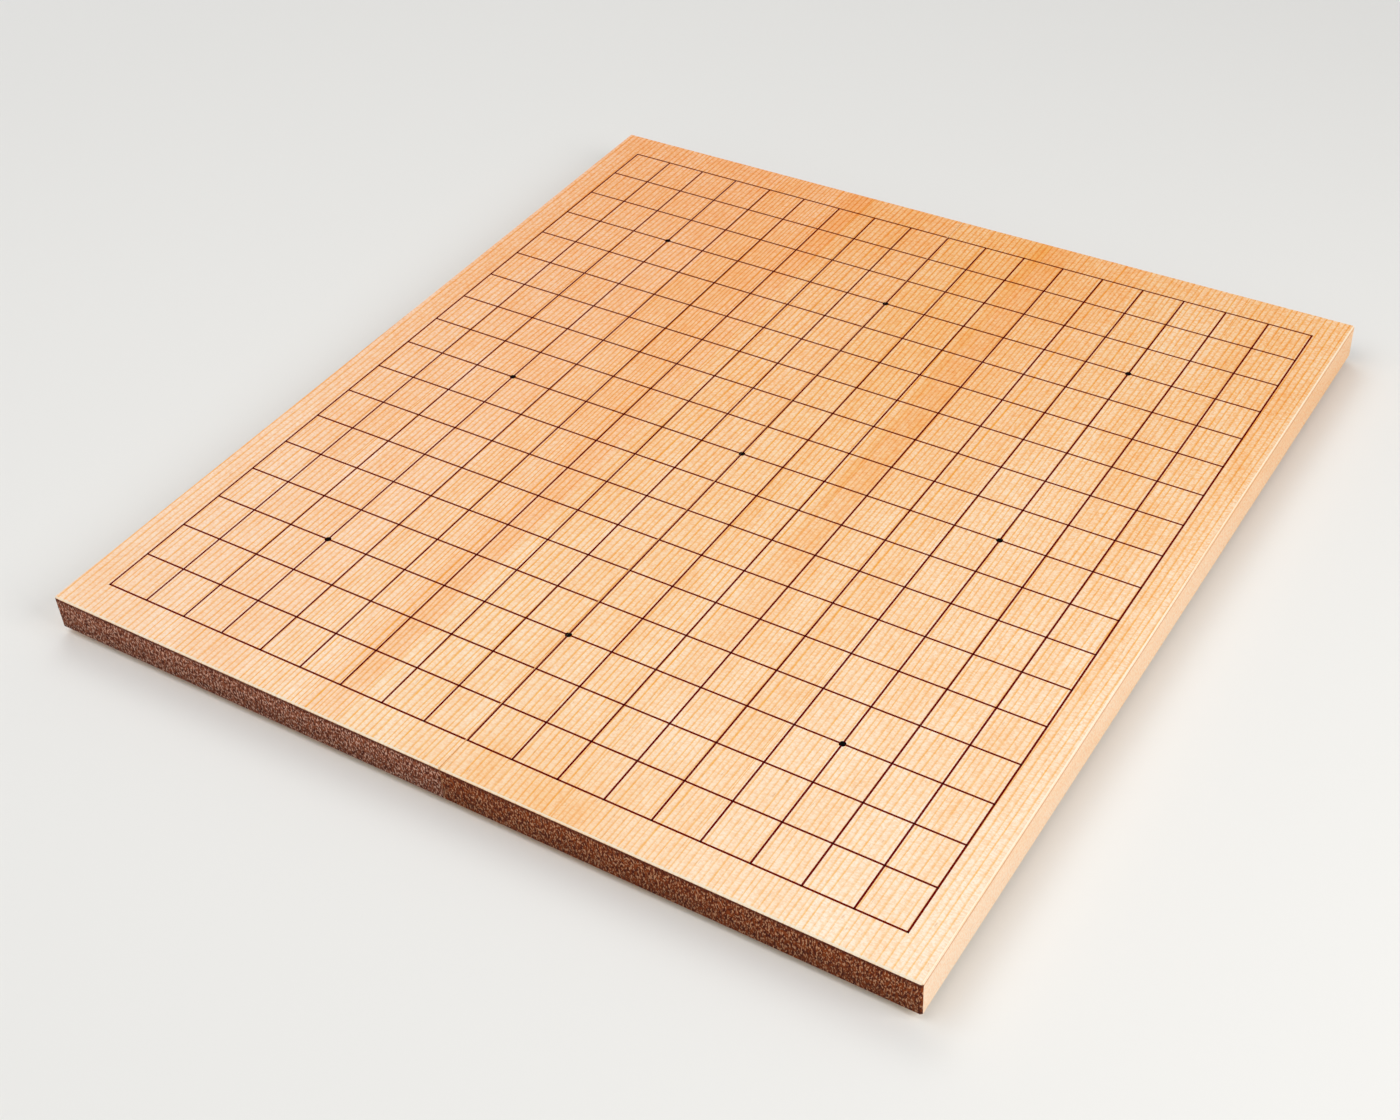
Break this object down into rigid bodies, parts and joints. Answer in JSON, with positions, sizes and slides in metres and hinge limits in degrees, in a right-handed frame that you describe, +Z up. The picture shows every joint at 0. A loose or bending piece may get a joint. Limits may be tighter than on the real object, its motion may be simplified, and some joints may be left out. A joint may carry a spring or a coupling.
{
  "type": "folding weiqi board",
  "caption": "Folding wooden weiqi (go) board with a ruled lacquer grid, split at the middle line into two halves that fold underside to underside on butt hinges.",
  "frame": {"origin": "bottom centre of the open board: on the table, under the middle of the seam", "axes": "+X to the right across the fold, +Y along the seam to the rear edge, +Z up out of the playing surface"},
  "size_m": [0.4282, 0.463, 0.0214],
  "materials": {
    "softwood": "planed straight-grained softwood, lightly waxed, satin",
    "grid_lacquer": "thin raised dark red-brown lacquer",
    "star_lacquer": "black lacquer dots",
    "hinge_brass": "drawn brass strip, lightly handled",
    "pin_brass": "turned brass pin",
    "screw_brass": "slotted brass screws",
    "foot_rubber": "soft black rubber"
  },
  "bodies": {
    "left_half": {"left_stave_1": "softwood", "left_stave_2": "softwood", "left_stave_3": "softwood", "left_stave_4": "softwood", "left_grid_lines": "grid_lacquer", "left_star_points": "star_lacquer", "front_hinge_left_leaf": "hinge_brass", "front_hinge_left_screws": "screw_brass", "rear_hinge_left_leaf": "hinge_brass", "rear_hinge_left_screws": "screw_brass", "front_hinge_pin": "pin_brass", "rear_hinge_pin": "pin_brass", "front_left_foot": "foot_rubber", "rear_left_foot": "foot_rubber"},
    "right_half": {"right_stave_1": "softwood", "right_stave_2": "softwood", "right_stave_3": "softwood", "right_stave_4": "softwood", "right_grid_lines": "grid_lacquer", "right_star_points": "star_lacquer", "front_hinge_right_leaf": "hinge_brass", "front_hinge_right_screws": "screw_brass", "rear_hinge_right_leaf": "hinge_brass", "rear_hinge_right_screws": "screw_brass", "front_right_foot": "foot_rubber", "rear_right_foot": "foot_rubber"}
  },
  "joints": [
    {"name": "fold", "type": "hinge", "parent": "left_half", "child": "right_half", "pos_m": [0, 0, 0.00275], "axis": [0, 1, 0], "range_deg": [0, 178.2]}
  ]
}
